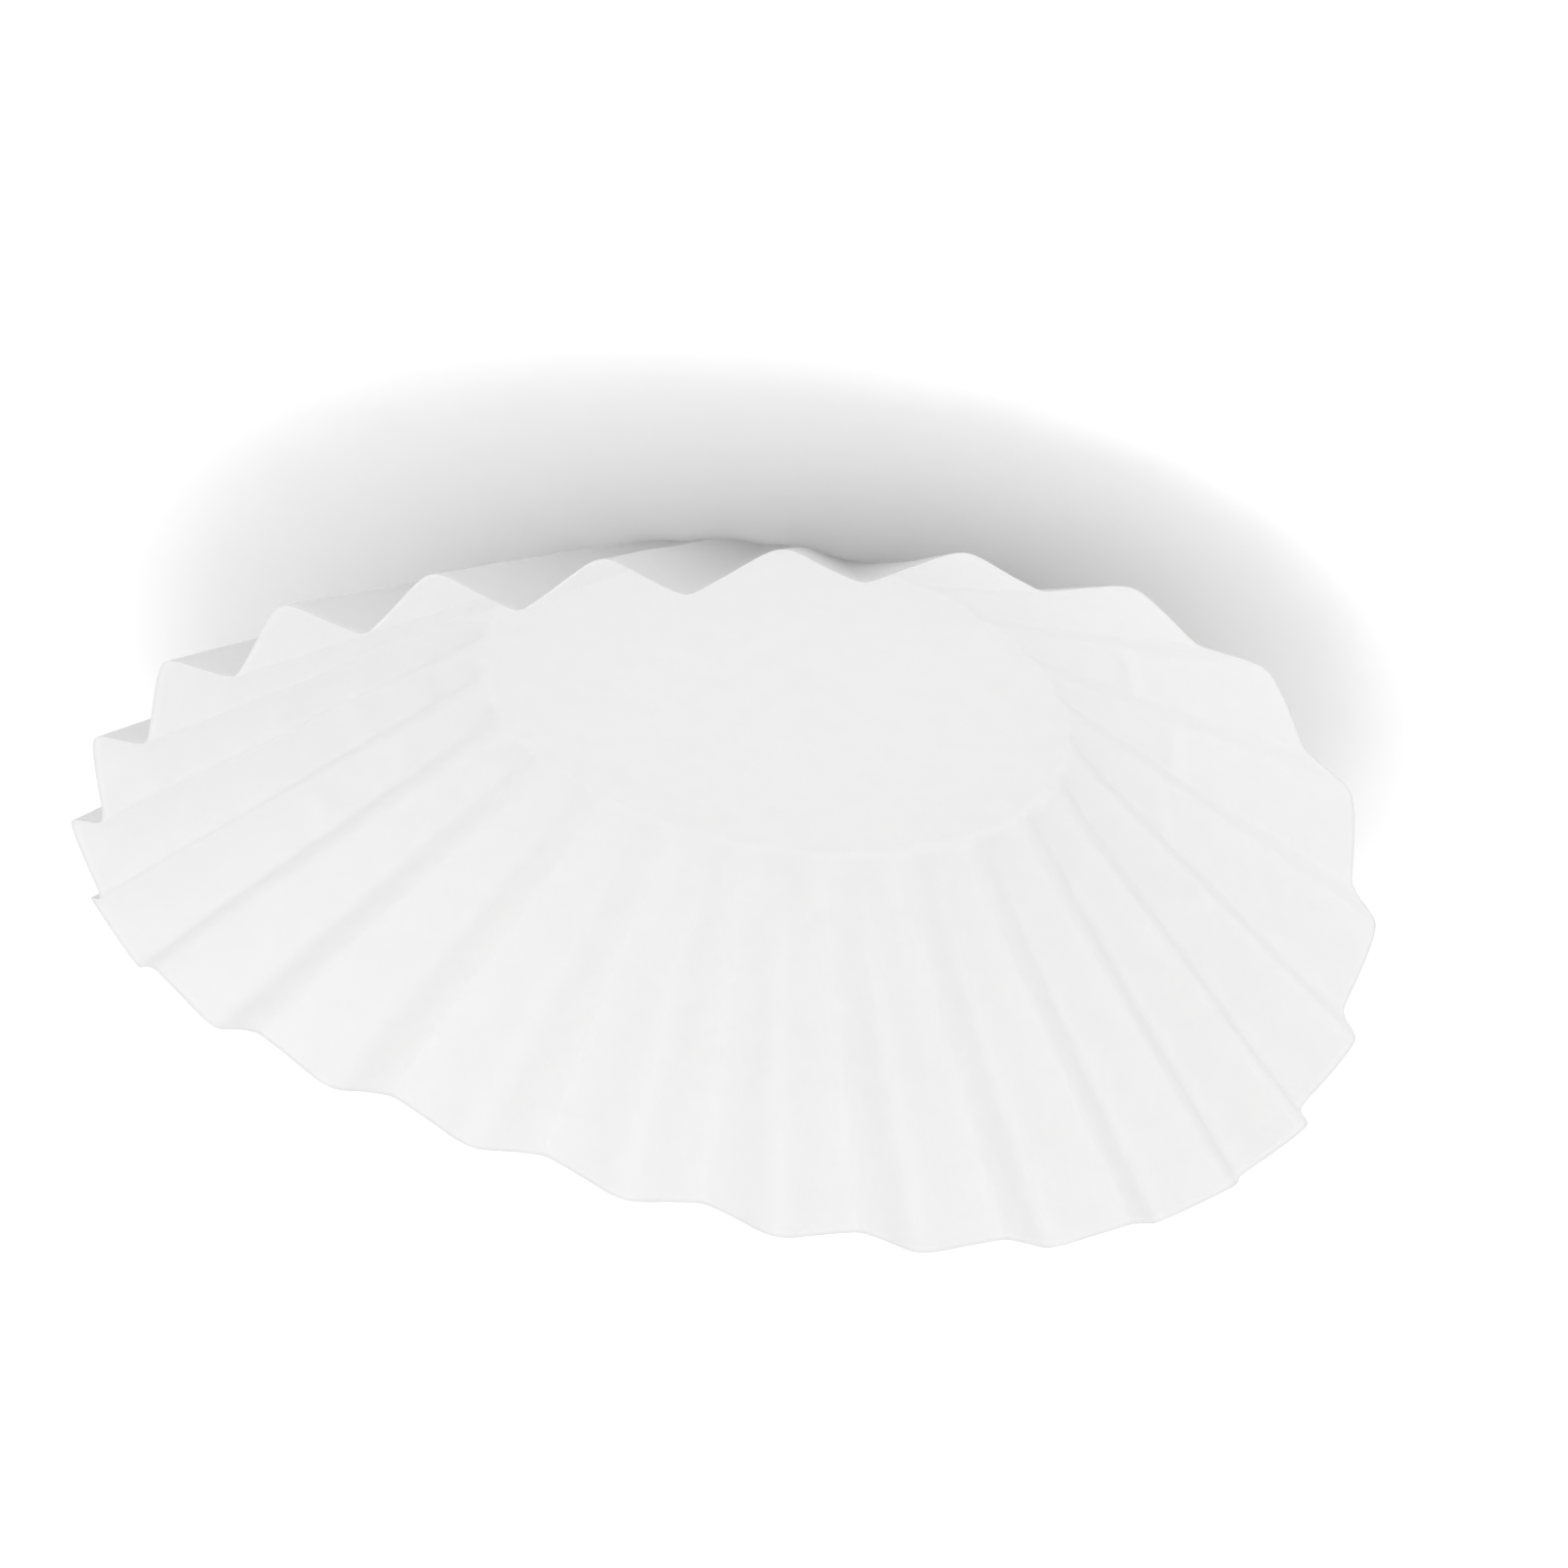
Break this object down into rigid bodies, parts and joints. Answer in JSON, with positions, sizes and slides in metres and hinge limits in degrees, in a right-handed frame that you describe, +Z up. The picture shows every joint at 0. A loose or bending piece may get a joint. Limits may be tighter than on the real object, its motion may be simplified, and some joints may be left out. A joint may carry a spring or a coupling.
{
  "type": "paper coffee filter",
  "caption": "Basket-style paper coffee filter: a flat round base and a flared, fluted wall pressed from one thin round sheet.",
  "frame": {"origin": "middle of the flat base, on its underside", "axes": "+Z up through the open mouth, away from the surface the filter stands on; +X and +Y lie in the base"},
  "size_m": [0.1774, 0.1785, 0.0452],
  "materials": {
    "paper": "bleached, matt, slightly fibrous"
  },
  "bodies": {
    "root": {"filter_paper": "paper"}
  },
  "joints": []
}
